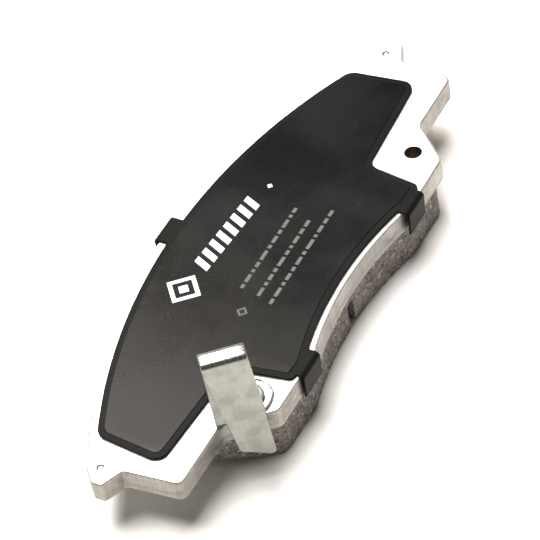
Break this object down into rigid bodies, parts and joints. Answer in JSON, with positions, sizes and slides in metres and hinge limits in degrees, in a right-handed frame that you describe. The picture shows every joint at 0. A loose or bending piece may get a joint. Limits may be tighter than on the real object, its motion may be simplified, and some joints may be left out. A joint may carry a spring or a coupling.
{
  "type": "disc brake pad",
  "caption": "Inner disc brake pad: steel backing plate with ears, grooved friction lining, black layered noise shim with folded tabs, and a riveted spring wear indicator.",
  "frame": {"origin": "bottom centre of the part's box: the middle of the pad, on the friction face", "axes": "+X along the pad, +Y towards the outer arc, +Z out of the back face, away from the disc"},
  "size_m": [0.144, 0.0516, 0.0403],
  "materials": {
    "zinc_plated_steel": "bright zinc, fine-blanked edges",
    "bonding_film": "cured resin film",
    "underlayer": "moulded, fine grained",
    "friction_material": "moulded and ground, granular",
    "shim_glue": "pressure sensitive adhesive",
    "shim_rubber": "smooth satin black",
    "shim_steel": "thin black coating",
    "spring_steel": "zinc plated, rolled",
    "rivet_steel": "zinc plated, headed"
  },
  "bodies": {
    "pad": {"backing_plate": "zinc_plated_steel", "bonding_film": "bonding_film", "underlayer": "underlayer", "friction_block": "friction_material", "shim_adhesive": "shim_glue", "shim_under_rubber": "shim_rubber", "shim_steel_core": "shim_steel", "shim_top_rubber": "shim_rubber", "indicator_foot": "spring_steel", "indicator_rivet": "rivet_steel"},
    "indicator": {"indicator_leaf": "spring_steel"}
  },
  "joints": [
    {"name": "indicator_flex", "type": "hinge", "parent": "pad", "child": "indicator", "pos_m": [-0.04588, -0.01886, 0.01798], "axis": [0.6591, -0.7521, 0], "range_deg": [-4, 4], "stiffness_Nm_per_rad": 2}
  ]
}
